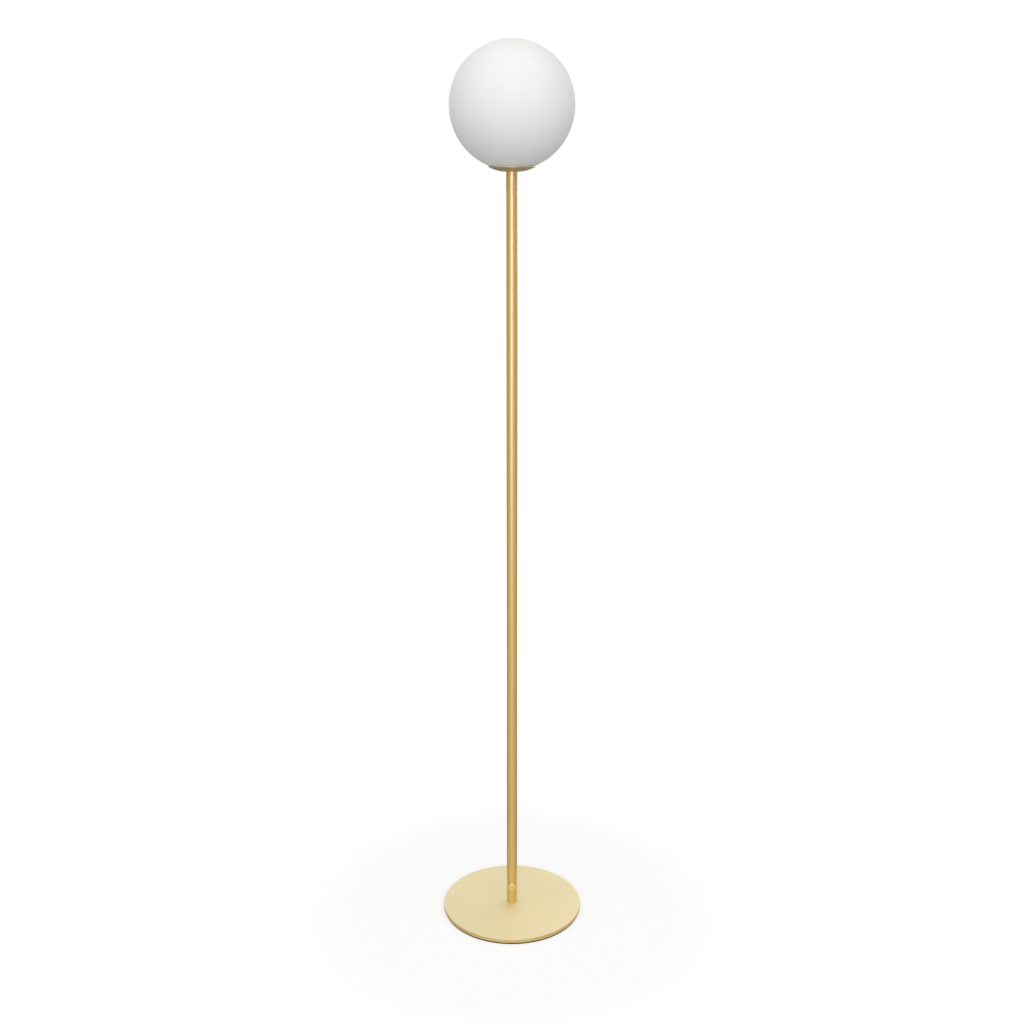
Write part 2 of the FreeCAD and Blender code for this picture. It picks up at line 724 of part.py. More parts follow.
def hairpin(name, middle):
    """A pin bent from wire: two straight legs joined by a half round at their lower end."""
    leg_gap = "((pin_width - pin_wire) / 2)"
    bend_height = f"({LAMP_FOOT} - pin_length + pin_width / 2)"
    legs = [
        cylinder(
            f"{name}_leg_{side}", "pin_wire / 2", f"pin_length + pin_buried - pin_width / 2",
            across=f"{middle} {sign} {leg_gap}", up=bend_height,
        )
        for side, sign in (("left", "-"), ("right", "+"))
    ]
    bend = doc.addObject("Part::Torus", f"{name}_bend")
    bind(bend, Radius1=leg_gap, Radius2="pin_wire / 2")
    bend.Angle3 = 180
    place(bend, across=middle, up=bend_height, turn=FreeCAD.Rotation(FreeCAD.Vector(1, 0, 0), -90))
    made = doc.addObject("Part::MultiFuse", name)
    made.Shapes = [*legs, bend]
    return made


def make_lamp():
    """A plug-in light source: base, two hairpin pins, board and frosted bulb."""
    base = rounded_block(
        "lamp_blank", "lamp_base_width", "lamp_base_depth", "lamp_base_height", "lamp_base_corner", LAMP_FOOT
    )
    pins = []
    for side, sign, _ in SIDES:
        middle = f"{sign}pin_spacing / 2"
        pins.append(hairpin(f"pin_{side}", middle))
        socket = block(
            f"pin_socket_{side}", "pin_width + 2 * fit_gap", "pin_wire + 2 * fit_gap", "pin_buried + fit_gap",
            across=middle, up=LAMP_FOOT,
        )
        base = combined("Cut", f"lamp_base_{side}", base, socket)
    slit = block(
        "board_slit", "board_width + 2 * fit_gap", "board_thick + 2 * fit_gap", "board_buried",
        up=f"{BULB_FOOT} - board_buried",
    )
    base = labelled(combined("Cut", "lamp_base", base, slit), "bulb_base")
    pins = labelled(together("pins", *pins), "bulb_pins")
    board = block(
        "board", "board_width", "board_thick", "board_height", up=f"{BULB_FOOT} - board_buried + fit_gap"
    )
    labelled(board, "bulb_board")
    outer, inner = "(bulb_dia / 2)", "(bulb_dia / 2 - bulb_wall)"
    shoulder = f"(bulb_height - {outer})"
    bulb = turned(
        "bulb_cover",
        [
            (inner, "0"), (outer, "0"), (outer, shoulder), ("0", "bulb_height"),
            ("0", "bulb_height - bulb_wall"), (inner, shoulder),
        ],
        up=f"{BULB_FOOT} + fit_gap",
        arcs={2: (outer, 1), 4: (inner, -1)},
    )
    return [base, pins, board, bulb]


# --- the globe -------------------------------------------------------------------------------

COLLAR_OUTER = "(globe_mouth_dia / 2 - globe_collar_glue)"
COLLAR_BORE = f"({COLLAR_OUTER} - globe_collar_wall)"
MOUTH = "(globe_mouth_dia / 2)"


def make_globe():
    """The globe and the neck at its foot, which meet on a level plane; the collar bonded in its mouth; and
    the gasket that it rests on."""
    outer, inner, neck = "(globe_dia / 2)", "(globe_dia / 2 - globe_wall)", "(globe_neck_dia / 2)"
    joint, neck_bore = globe_skin(neck), f"sqrt({inner}^2 - {outer}^2 + {neck}^2)"
    globe = turned(
        "globe",
        [(neck, joint), ("0", "globe_dia"), ("0", "globe_dia - globe_wall"), (neck_bore, joint)],
        up=GLOBE_FOOT,
        arcs={0: (outer, 1), 2: (inner, -1)},
    )
    globe_neck = turned(
        "globe_neck",
        [
            (MOUTH, globe_skin(MOUTH)), (neck, joint), (neck_bore, joint),
            (MOUTH, f"{outer} - sqrt({inner}^2 - {MOUTH}^2)"),
        ],
        up=GLOBE_FOOT,
        arcs={0: (outer, 1), 2: (inner, -1)},
    )
    collar = ring(
        "globe_collar", COLLAR_OUTER, COLLAR_BORE, "globe_collar_height",
        f"{GLOBE_FOOT} + {globe_skin(MOUTH)} - globe_collar_drop",
    )
    near, far = f"({GASKET_MIDDLE} - gasket_width / 2)", f"({GASKET_MIDDLE} + gasket_width / 2)"
    gasket = turned(
        "globe_gasket",
        [
            (near, f"{dish_floor(near)} + gasket_lift"), (far, f"{dish_floor(far)} + gasket_lift"),
            (far, f"{GLOBE_RISE} + {globe_skin(far)} - gasket_ease"),
            (near, f"{GLOBE_RISE} + {globe_skin(near)} - gasket_ease"),
        ],
        up=STEM_TOP,
        arcs={0: ("dish_radius - saucer_wall", 1), 2: (outer, -1)},
    )
    return [globe, globe_neck, collar, gasket]


def check(parts):
    """Stops on a failed feature, an empty or invalid shape, or a name used twice."""
    failed = [thing.Name for thing in doc.Objects if {"Invalid", "Error"} & set(thing.State)]
    if failed:
        raise RuntimeError(f"failed features: {failed}")
    for part in parts:
        if part.Shape.isNull() or not part.Shape.isValid() or not part.Shape.Solids:
            raise RuntimeError(f"bad shape: {part.Label}")
    if len({part.Label for part in parts}) != len(parts):
        raise RuntimeError("two sub-parts share a label")


def export(parts):
    """Writes one STEP file for each sub-part, named after its label."""
    os.makedirs("parts", exist_ok=True)
    for part in parts:
        part.Shape.exportStep(f"parts/{part.Label}.step")
        print(f"{part.Label:18s} {len(part.Shape.Solids)} solid(s) {part.Shape.Volume / 1000:10.3f} cm3")


parts = [
    *make_foot(),
    *make_stem(),
    *make_switch(),
    make_cord_bush(),
    *make_lead(),
    make_saucer(),
    make_clip_carrier(),
    *make_tie(),
    *make_bracket(),
    *make_holder(),
    *make_lamp(),
    *make_globe(),
]
doc.recompute()
check(parts)
export(parts)
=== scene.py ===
"""Globe floor lamp: finishes, turned and formed pieces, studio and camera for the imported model.

Metres, in the model's own frame: +Z runs up the stem and the front of the lamp faces -Y. Turned and formed
shapes are worked out in millimetres, and new_piece scales them once.
"""
import math

import bmesh
import bpy
import numpy as np
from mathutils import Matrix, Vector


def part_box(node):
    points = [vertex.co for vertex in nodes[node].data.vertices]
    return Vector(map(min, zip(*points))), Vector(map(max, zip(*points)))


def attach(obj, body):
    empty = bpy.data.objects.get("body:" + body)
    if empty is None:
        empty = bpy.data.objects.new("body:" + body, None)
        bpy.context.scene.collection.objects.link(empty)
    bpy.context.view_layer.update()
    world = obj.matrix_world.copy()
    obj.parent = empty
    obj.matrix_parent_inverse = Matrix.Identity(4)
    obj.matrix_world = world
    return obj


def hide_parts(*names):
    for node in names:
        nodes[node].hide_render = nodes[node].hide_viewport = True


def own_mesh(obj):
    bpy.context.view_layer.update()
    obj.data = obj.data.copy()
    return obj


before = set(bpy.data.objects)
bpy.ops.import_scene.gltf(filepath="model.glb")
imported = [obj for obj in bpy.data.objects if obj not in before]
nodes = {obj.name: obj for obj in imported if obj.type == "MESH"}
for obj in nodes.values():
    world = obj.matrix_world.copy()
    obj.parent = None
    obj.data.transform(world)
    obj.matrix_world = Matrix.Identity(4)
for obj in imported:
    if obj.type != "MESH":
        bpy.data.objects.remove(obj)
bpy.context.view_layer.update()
scene = bpy.context.scene

MM = 0.001
# Sizes that several pieces share, in millimetres.
GLOBE_RADIUS = 100.0
DISH_UNDER, DISH_FLOOR = 58.0, 56.8  # circles of the saucer's two faces
STEM_RADIUS = 9.5
ROD_HOLE = 5.2  # radius of the holes that the rod and the foot's screw go through


# --- meshes ----------------------------------------------------------------------------------

def new_piece(name, points, faces, finish, body="lamp", stands_for=(), slot=None, sharp=35):
    """A smooth mesh object from an array of points in millimetres and a list of arrays of face corners. Edges
    that turn by more than `sharp` degrees stay crisp."""
    mesh = bpy.data.meshes.new(name)
    mesh.from_pydata(np.asarray(points) * MM, [], [face for block in faces for face in block.tolist()])
    mesh.validate()
    mesh.shade_smooth()
    mesh.set_sharp_from_angle(angle=math.radians(sharp))
    mesh.materials.append(finish)
    piece = bpy.data.objects.new(name, mesh)
    scene.collection.objects.link(piece)
    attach(piece, body)
    if stands_for:
        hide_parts(*stands_for)
    return piece


def headings(count):
    """Even angles once round, in radians."""
    return np.linspace(0, 2 * np.pi, count, endpoint=False)


def grid_faces(rows, columns, wrap_rows=False):
    """Four-cornered faces over a grid of points numbered row by row. The last column joins the first, and
    with `wrap_rows` the last row does too."""
    i, j = np.meshgrid(np.arange(rows if wrap_rows else rows - 1), np.arange(columns), indexing="ij")
    i, j = i.ravel(), j.ravel()
    below, beside = (i + 1) % rows, (j + 1) % columns
    corners = [i * columns + j, below * columns + j, below * columns + beside, i * columns + beside]
    return np.stack(corners, axis=1)


def fan(pole, start, count, last=False):
    """Triangles from a pole to the row of `count` points numbered from `start`: the first row of a grid, or
    its last, where they go round the other way."""
    here = start + np.arange(count)
    beside = start + (np.arange(count) + 1) % count
    return np.stack([np.full(count, pole), *((beside, here) if last else (here, beside))], axis=1)


def lids(rows, columns):
    """The two flat faces that close a grid at its first row and at its last."""
    return [np.arange(columns)[None], np.arange(columns)[None, ::-1] + (rows - 1) * columns]


def stacked(*parts):
    """Several point and face sets made into one."""
    points, faces, start = [], [], 0
    for some, blocks in parts:
        points.append(some)
        faces += [block + start for block in blocks]
        start += len(some)
    return np.vstack(points), faces


def swung(points, angle):
    """Points turned about Z by an angle in radians."""
    c, s = math.cos(angle), math.sin(angle)
    return points @ np.array([[c, -s, 0], [s, c, 0], [0, 0, 1]]).T


def revolve(profile, segments):
    """Points and faces of a profile of (radius, height) rows turned about Z. Outside lies to the left of the
    walk along the profile. A row whose radius is 0 at an end becomes one pole; a profile with no pole closes
    on itself."""
    profile = np.asarray(profile, float)
    poles = [profile[0, 0] == 0, profile[-1, 0] == 0]
    body = profile[int(poles[0]):len(profile) - int(poles[1])]
    angle = headings(segments)
    ring = np.stack([np.cos(angle), np.sin(angle)], axis=1)
    flat = body[:, None, :1] * ring[None]
    height = np.broadcast_to(body[:, None, 1:], (len(body), segments, 1))
    points = np.concatenate([flat, height], axis=2).reshape(-1, 3)
    faces = [grid_faces(len(body), segments, wrap_rows=not any(poles))]
    if poles[0]:
        faces.append(fan(len(points), 0, segments))
        points = np.vstack([points, [0, 0, profile[0, 1]]])
    if poles[1]:
        faces.append(fan(len(points), (len(body) - 1) * segments, segments, last=True))
        points = np.vstack([points, [0, 0, profile[-1, 1]]])
    return points, faces


def turned_rows(radius, height):
    """Points and faces of closed rows round Z whose radius and height may change with the angle; each is an
    array of rows by angles. The last row joins the first."""
    radius, height = np.broadcast_arrays(np.asarray(radius, float), np.asarray(height, float))
    angle = headings(radius.shape[1])
    points = np.stack([radius * np.cos(angle), radius * np.sin(angle), height], axis=2).reshape(-1, 3)
    return points, [grid_faces(*radius.shape, wrap_rows=True)]


def arc(centre, radius, start, end, steps):
    """Rows of (radius, height) on a circle, from one angle to another in degrees."""
    angle = np.radians(np.linspace(start, end, steps))
    return np.stack([centre[0] + radius * np.cos(angle), centre[1] + radius * np.sin(angle)], axis=1)


def eased(corners, radii, steps):
    """A closed outline of (radius, height) corners with each corner rounded: a circle of the corner's radius
    touches both of its sides, and its arc takes the corner's place."""
    corners = np.asarray(corners, float)
    rows = []
    neighbours = zip(np.roll(corners, 1, 0), corners, np.roll(corners, -1, 0), radii)
    for before, here, after, radius in neighbours:
        if radius == 0:
            rows.append(here[None])
            continue
        a, b = (before - here) / np.linalg.norm(before - here), (after - here) / np.linalg.norm(after - here)
        half = math.acos(np.clip(a @ b, -1, 1)) / 2
        middle = (a + b) / np.linalg.norm(a + b)
        centre = here + middle * radius / math.sin(half)
        from_a = here + a * radius / math.tan(half) - centre
        from_b = here + b * radius / math.tan(half) - centre
        turn = np.linspace(0, 1, steps)[:, None]
        between = math.pi - 2 * half
        swept = (np.sin((1 - turn) * between) * from_a + np.sin(turn * between) * from_b) / math.sin(between)
        rows.append(centre + swept)
    return np.vstack(rows)


def dish_heights(out, centre, radius):
    """The lower side of a circle whose middle stands over the stem's edge, at distances from the axis."""
    return centre - np.sqrt(radius**2 - (out - STEM_RADIUS) ** 2)


def heights_of(node):
    """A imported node's lowest and highest level, in millimetres."""
    low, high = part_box(node)
    return low[2] / MM, high[2] / MM


# --- finishes --------------------------------------------------------------------------------

# Brush lines to the metre. Drawn ones: across the stroke twice, then along it. Spun ones: how fast they
# change round the axis, then outwards.
DRAWN_FINE, DRAWN_COARSE = (1900, 1900, 9), (420, 420, 3)
SPUN_FINE, SPUN_COARSE = (2.2, 2600), (1.1, 420)
TONE_DRIFT = 0.12  # how far the coarse lines shift the tone of brass
# Depth of relief in metres: brush lines, pits of plating, grain of plastic, and slow swell of blown glass.
BRUSH_DEPTH, PIT_DEPTH, GRAIN_DEPTH, SWELL_DEPTH = 0.00004, 0.00005, 0.00006, 0.0012


def add(tree, kind, inputs=None, **settings):
    """A node of a kind with its settings; each input is a number, or another node's output to join to it."""
    made = tree.nodes.new("ShaderNode" + kind)
    for name, value in settings.items():
        setattr(made, name, value)
    for name, value in (inputs or {}).items():
        if isinstance(value, bpy.types.NodeSocket):
            tree.links.new(value, made.inputs[name])
        else:
            made.inputs[name].default_value = value
    return made


def new_finish(name, **constants):
    """A material with a Principled surface whose constant inputs are set on its own sockets."""
    material = bpy.data.materials.new(name)
    material.use_nodes = True
    tree = material.node_tree
    surface = tree.nodes["Principled BSDF"]
    for socket, value in constants.items():
        surface.inputs[socket.replace("_", " ")].default_value = value
    return material, tree, surface


def place_on(tree, scale=(1, 1, 1)):
    """Object coordinates times a scale."""
    coordinates = add(tree, "TexCoord")
    return add(tree, "Mapping", {"Vector": coordinates.outputs["Object"], "Scale": scale}).outputs["Vector"]


def polar_place(tree, around, outwards):
    """Seamless coordinates for turned grain: the direction from the axis times `around`, and the distance
    from it times `outwards`."""
    where = add(tree, "TexCoord").outputs["Object"]
    flat = add(tree, "VectorMath", {0: where, 1: (1, 1, 0)}, operation="MULTIPLY").outputs["Vector"]
    radius = add(tree, "VectorMath", {0: flat}, operation="LENGTH").outputs["Value"]
    heading = add(tree, "VectorMath", {0: flat}, operation="NORMALIZE").outputs["Vector"]
    turned = add(tree, "VectorMath", {0: heading, "Scale": around}, operation="SCALE").outputs["Vector"]
    reach = add(tree, "Math", {0: radius, 1: outwards}, operation="MULTIPLY").outputs["Value"]
    split = add(tree, "SeparateXYZ", {"Vector": turned})
    return add(tree, "CombineXYZ", {"X": split.outputs["X"], "Y": split.outputs["Y"], "Z": reach}).outputs[0]


def noise(tree, vector, scale, detail=2.0, roughness=0.5):
    """Cloudy noise from 0 to 1."""
    inputs = {"Vector": vector, "Scale": scale, "Detail": detail, "Roughness": roughness}
    return add(tree, "TexNoise", inputs).outputs["Fac"]


def spread(tree, value, low, high, out_low, out_high):
    """A value between two limits stretched onto another pair of limits."""
    inputs = {"Value": value, "From Min": low, "From Max": high, "To Min": out_low, "To Max": out_high}
    return add(tree, "MapRange", inputs).outputs["Result"]


def from_noise(tree, pattern, low=0.0, high=1.0, swing=0.2):
    """A noise, which keeps mostly within `swing` of a half, stretched onto a pair of limits."""
    return spread(tree, pattern, 0.5 - swing, 0.5 + swing, low, high)


def mixed(tree, factor, first, second):
    """The first colour at 0 and the second at 1. Each is four numbers, or another node's output."""
    return add(tree, "Mix", {0: factor, 6: first, 7: second}, data_type="RGBA").outputs[2]


def join(tree, output, surface, socket):
    """Leads a node's output to one of the surface's sockets."""
    tree.links.new(output, surface.inputs[socket])


def two_toned(tree, surface, tone, deep, light):
    """Colours the surface from its deep tone at 0 to its light tone at 1."""
    join(tree, mixed(tree, tone, (*deep, 1), (*light, 1)), surface, "Base Color")


def raised(tree, surface, height, strength, depth):
    """Small relief from a height pattern, `depth` metres deep."""
    bump = add(tree, "Bump", {"Height": height, "Strength": strength, "Distance": depth})
    join(tree, bump.outputs["Normal"], surface, "Normal")


def satin_brass(name, light, deep, grain, rough=(0.75, 0.85), lacquer=(2.4, 0.33), lines=1.0):
    """Lacquered satin brass. Grain is "drawn" along Z, or "spun" round it. Cloudy noise blends two tones of
    brass; fine stretched noise gives the brush lines, which lift the roughness and the relief a little. The
    lacquer is a pair: how strongly it bends light, and its roughness."""
    material, tree, surface = new_finish(
        name, Metallic=1.0, Coat_Weight=1.0, Coat_IOR=lacquer[0], Coat_Roughness=lacquer[1],
    )
    if grain == "drawn":
        fine_place, coarse_place = place_on(tree, DRAWN_FINE), place_on(tree, DRAWN_COARSE)
    else:
        fine_place, coarse_place = polar_place(tree, *SPUN_FINE), polar_place(tree, *SPUN_COARSE)
    fine = noise(tree, fine_place, scale=1.0, detail=3.0, roughness=0.6)
    coarse = noise(tree, coarse_place, scale=1.0)
    cloud = noise(tree, place_on(tree), scale=7.0, detail=3.0)
    brushed = add(tree, "Math", {0: fine, 1: coarse}, operation="MULTIPLY").outputs["Value"]
    drift = from_noise(tree, coarse, -TONE_DRIFT, TONE_DRIFT)
    shifted = add(tree, "Math", {0: cloud, 1: drift}, operation="ADD").outputs["Value"]
    two_toned(tree, surface, from_noise(tree, shifted), deep, light)
    join(tree, spread(tree, brushed, 0.12, 0.4, *rough), surface, "Roughness")
    raised(tree, surface, fine, 0.12 * lines, BRUSH_DEPTH)
    return material


def plated_steel(name, light, deep, rough=(0.28, 0.42), grain=600.0):
    """Zinc or nickel plated steel: two greys in soft clouds, fine pitting in roughness and relief."""
    material, tree, surface = new_finish(name, Metallic=1.0)
    where = place_on(tree)
    cloud = noise(tree, where, scale=60.0, detail=4.0, roughness=0.6)
    pits = noise(tree, where, scale=grain, detail=3.0, roughness=0.65)
    two_toned(tree, surface, from_noise(tree, cloud), deep, light)
    join(tree, from_noise(tree, cloud, *rough), surface, "Roughness")
    raised(tree, surface, pits, 0.15, PIT_DEPTH)
    return material


def moulded(name, light, deep, rough=(0.45, 0.6), grain=900.0, relief=0.2, **constants):
    """Moulded plastic, rubber or ceramic: two near tones in clouds, and a fine grain in roughness and
    relief."""
    material, tree, surface = new_finish(name, **constants)
    where = place_on(tree)
    cloud = noise(tree, where, scale=40.0, detail=3.0)
    fine = noise(tree, where, scale=grain, detail=3.0, roughness=0.6)
    two_toned(tree, surface, from_noise(tree, cloud, swing=0.15), deep, light)
    join(tree, from_noise(tree, fine, *rough, swing=0.15), surface, "Roughness")
    raised(tree, surface, fine, relief, GRAIN_DEPTH)
    return material


def opal_finish():
    """Satin opal glass: milky white with faint clouds, a satin skin, and slow hand-blown unevenness."""
    material, tree, surface = new_finish(
        "opal_satin", Subsurface_Weight=0.12, Subsurface_Scale=0.004, Subsurface_Radius=(1.0, 0.9, 0.8),
        Specular_IOR_Level=0.45,
    )
    where = place_on(tree)
    cloud = noise(tree, where, scale=9.0, detail=4.0, roughness=0.55)
    speck = noise(tree, where, scale=420.0)
    two_toned(tree, surface, from_noise(tree, cloud), (0.895, 0.893, 0.88), (0.93, 0.93, 0.92))
    join(tree, from_noise(tree, cloud, 0.42, 0.5), surface, "Roughness")
    swell = noise(tree, where, scale=14.0, detail=1.0)
    faint_speck = spread(tree, speck, 0.0, 1.0, 0.0, 0.02)
    uneven = add(tree, "Math", {0: swell, 1: faint_speck}, operation="ADD").outputs["Value"]
    raised(tree, surface, uneven, 0.18, SWELL_DEPTH)
    return material


# Each finish: its light tone, its deep tone, and what its function asks for after them.
stem_brass = satin_brass("stem_brass", (0.71, 0.488, 0.045), (0.672, 0.463, 0.035), "drawn")
# The saucer's brass is darker than the stem's: painted shade for its underside, which faces the floor.
saucer_brass_painted_shade = satin_brass("saucer_brass_painted_shade", (0.54, 0.38, 0.105), (0.50, 0.355, 0.095), "spun")
# The foot plate's top: a paler brass than the stem's, which paints the bright backdrop's sheen on it.
plate_brass_painted_sheen = satin_brass(
    "plate_brass_painted_sheen", (0.79, 0.69, 0.405), (0.75, 0.655, 0.38), "spun", lacquer=(2.0, 0.45),
)
# The saucer's lip: a pale brass that paints a highlight along its rim.
lip_painted_highlight = satin_brass(
    "lip_painted_highlight", (0.95, 0.84, 0.58), (0.91, 0.79, 0.53), "spun", rough=(0.5, 0.6), lacquer=(2.2, 0.35),
)
# The plate's upright side: a deeper brass, without the top's painted sheen.
edge_brass = satin_brass(
    "edge_brass", (0.70, 0.52, 0.17), (0.66, 0.485, 0.15), "spun", rough=(0.7, 0.8), lacquer=(1.8, 0.4),
)
bezel_brass = satin_brass(
    "bezel_brass", (0.90, 0.68, 0.24), (0.85, 0.635, 0.2), "spun", rough=(0.4, 0.5), lines=0.5,
)
button_brass = satin_brass(
    "button_brass", (0.62, 0.45, 0.13), (0.58, 0.41, 0.12), "drawn", rough=(0.6, 0.7),
)
terminal_brass = satin_brass(
    "terminal_brass", (0.80, 0.58, 0.2), (0.72, 0.5, 0.16), "drawn", rough=(0.25, 0.35),
)
zinc = plated_steel("zinc_plate", (0.68, 0.69, 0.71), (0.55, 0.56, 0.585))
screw_zinc = plated_steel("screw_zinc", (0.62, 0.62, 0.64), (0.5, 0.5, 0.52), (0.25, 0.36))
turned_steel = plated_steel("turned_steel", (0.55, 0.55, 0.56), (0.45, 0.45, 0.46), (0.3, 0.45), 900.0)
spring_steel = plated_steel("spring_steel", (0.63, 0.63, 0.655), (0.53, 0.53, 0.56), (0.2, 0.3), 400.0)
tinned_wire = plated_steel("tinned_wire", (0.74, 0.74, 0.745), (0.62, 0.62, 0.63), (0.22, 0.34), 800.0)
collar_aluminium = plated_steel(
    "collar_aluminium", (0.80, 0.80, 0.81), (0.70, 0.70, 0.71), (0.3, 0.42), 500.0,
)
pad_rubber = moulded("pad_rubber", (0.022, 0.016, 0.011), (0.012, 0.009, 0.007), (0.7, 0.85), 700.0, 0.35)
switch_plastic = moulded("switch_plastic", (0.028, 0.028, 0.029), (0.018, 0.018, 0.019), (0.4, 0.55))
bush_plastic = moulded(
    "bush_plastic", (0.60, 0.44, 0.17), (0.54, 0.39, 0.15), (0.35, 0.45), Coat_Weight=0.3,
)
lead_sheath = moulded("lead_sheath", (0.72, 0.71, 0.68), (0.66, 0.65, 0.62))
core_sleeve = moulded("core_sleeve", (0.66, 0.62, 0.52), (0.58, 0.54, 0.45), (0.6, 0.75), 1500.0, 0.5)
holder_ceramic = moulded(
    "holder_ceramic", (0.80, 0.785, 0.74), (0.745, 0.73, 0.685), (0.5, 0.66), 1300.0, 0.3,
)
bulb_plastic = moulded("bulb_plastic", (0.82, 0.82, 0.81), (0.77, 0.77, 0.76), (0.3, 0.4), 700.0, 0.12)
solder_mask = moulded("solder_mask", (0.78, 0.785, 0.76), (0.72, 0.725, 0.7), (0.3, 0.42), 900.0, 0.1)
frosted_cover = moulded(
    "frosted_cover", (0.90, 0.90, 0.885), (0.86, 0.86, 0.845), (0.4, 0.5), 800.0, 0.12,
    Subsurface_Weight=0.5, Subsurface_Scale=0.003, Subsurface_Radius=(1.0, 1.0, 0.95),
)
chip_yellow = moulded(
    "chip_yellow", (0.86, 0.62, 0.10), (0.80, 0.55, 0.08), (0.25, 0.35), 1800.0, 0.1, Coat_Weight=0.4,
)
gasket_rubber = moulded("gasket_rubber", (0.83, 0.83, 0.81), (0.77, 0.77, 0.75), (0.45, 0.6), 800.0)
opal_satin = opal_finish()

for node, finish in {
    "base_plate": plate_brass_painted_sheen, "base_pad": pad_rubber, "base_screw": screw_zinc, "foot_plug": turned_steel,
    "stem_tube": stem_brass, "stem_top_plug": turned_steel, "switch_bezel": bezel_brass,
    "push_button": button_brass, "button_spring": spring_steel, "switch_housing": switch_plastic,
    "switch_terminals": terminal_brass, "cord_bush": bush_plastic, "stem_lead": lead_sheath,
    "lead_cores": core_sleeve, "saucer": saucer_brass_painted_shade, "clip_carrier": spring_steel, "threaded_rod": zinc,
    "riser_washer": zinc, "lock_washer": zinc, "rod_nuts": zinc, "spacer_tube": zinc, "holder_bracket": zinc,
    "bracket_screws": screw_zinc, "holder_body": holder_ceramic, "holder_contacts": terminal_brass,
    "bulb_base": bulb_plastic, "bulb_pins": tinned_wire, "bulb_board": solder_mask,
    "bulb_cover": frosted_cover, "globe": opal_satin, "globe_neck": opal_satin,
    "globe_collar": collar_aluminium, "globe_gasket": gasket_rubber,
}.items():
    for place in nodes[node].material_slots:
        place.material = finish


# --- the globe, the saucer and the foot ------------------------------------------------------

def make_globe():
    """A thin ball, 100 mm outside and 97 mm inside, open at its foot, where its edge is melted round: the
    outer circle's arc, a half circle of 1.5 mm about the middle of the wall, and the inner circle's arc. Its
    mouth's edge lies 16.2 degrees out from straight down."""
    wall, mouth = 3.0, -90 + 16.2
    top = heights_of("globe")[1]
    centre = (0, top - GLOBE_RADIUS)
    middle = arc(centre, GLOBE_RADIUS - wall / 2, mouth, mouth, 1)[0]
    profile = np.vstack([
        [[0, top]], arc(centre, GLOBE_RADIUS, 90, mouth, 110)[1:-1],
        arc(middle, wall / 2, mouth, mouth - 180, 12),
        arc(centre, GLOBE_RADIUS - wall, mouth, 90, 80)[1:-1], [[0, top - wall]],
    ])
    points, faces = revolve(profile, segments=168)
    new_piece("globe_shell", points, faces, opal_satin, "globe", ("globe", "globe_neck"), "opal_glass")


def split_rim_tone(piece, finish, beyond, below):
    """Gives a piece's faces a second brass where their middles lie beyond a radius and below a height. It
    sets off the saucer's painted lip highlight, and keeps the plate's painted sheen off its upright side.
    """
    piece.data.materials.append(finish)
    middles = np.empty(len(piece.data.polygons) * 3)
    piece.data.polygons.foreach_get("center", middles)
    x, y, z = middles.reshape(-1, 3).T / MM
    on_rim = (np.hypot(x, y) > beyond) & (z < below)
    piece.data.polygons.foreach_set("material_index", on_rim.astype(np.int32))


def make_saucer():
    """A dish 1.2 mm thick whose faces rise by circles of 58 and 56.8 mm from a flat middle as wide as the
    stem, with a rounded lip 1.1 mm thick. The dish's brass is darkened as painted shade, and the lip is a
    paler brass that paints a highlight along the rim."""
    wall, rim, lip = 1.2, 38.7, 1.1
    inner_ease, outer_ease = 0.35, 0.45
    foot, top = heights_of("saucer")
    out, back = np.linspace(rim, STEM_RADIUS, 40), np.linspace(STEM_RADIUS, rim - wall, 36)
    under = np.stack([out, dish_heights(out, foot + DISH_UNDER, DISH_UNDER)], axis=1)
    floor = np.stack([back, dish_heights(back, foot + DISH_UNDER, DISH_FLOOR)], axis=1)
    knee = under[0, 1]
    profile = np.vstack([
        [[rim - 0.06, knee - 0.03]], under[2:], [[ROD_HOLE, foot]], [[ROD_HOLE, foot + wall]], floor,
        arc((rim - lip + inner_ease, top - inner_ease), inner_ease, 180, 90, 5),
        arc((rim - outer_ease, top - outer_ease), outer_ease, 90, 0, 6), [[rim, knee + 0.12]],
    ])
    points, faces = revolve(profile, segments=200)
    dish = new_piece("saucer_dish", points, faces, saucer_brass_painted_shade, "lamp", ("saucer",), "brass_saucer", 50)
    split_rim_tone(dish, lip_painted_highlight, beyond=rim - 0.4, below=top + 1)


def make_plate():
    """The foot plate: a turned disc with a rounded upper edge and a countersunk hole in its middle. Its
    upright side keeps a deeper brass, while its top is a paler brass that paints the sheen of the bright
    backdrop."""
    rim, sink, sink_foot, sink_top = 126.5, 10.0, 0.2, 5.0
    top_ease, foot_ease = 0.9, 0.45
    foot, top = heights_of("base_plate")
    corners = [
        (ROD_HOLE, top), (rim, top), (rim, foot), (sink, foot), (sink, foot + sink_foot),
        (ROD_HOLE, foot + sink_top),
    ]
    points, faces = revolve(eased(corners, [0, top_ease, foot_ease, 0, 0, 0], 9), segments=256)
    plate = new_piece("foot_plate", points, faces, plate_brass_painted_sheen, "lamp", ("base_plate",), "brass_plate")
    split_rim_tone(plate, edge_brass, beyond=rim - 0.3, below=top - 0.5)


def make_pad():
    """The rubber pad under the plate: a flat ring with rounded edges."""
    hole, rim = 16.0, 125.3
    foot, top = heights_of("base_pad")
    corners = [(hole, top), (rim, top), (rim, foot), (hole, foot)]
    points, faces = revolve(eased(corners, [0.2, 0.35, 0.6, 0.5], 6), segments=200)
    new_piece("foot_pad", points, faces, pad_rubber, "lamp", ("base_pad",), "pad")


make_globe()
make_saucer()
make_plate()
make_pad()


# --- rod, nuts, washers and screws -----------------------------------------------------------

def thread_wave(height, angle, pitch):
    """0 at the root of a thread and 1 at its crest: a triangle wave that climbs one pitch a turn."""
    turn = height / pitch - angle / (2 * np.pi)
    return 2 * np.abs(turn - np.floor(turn + 0.5))


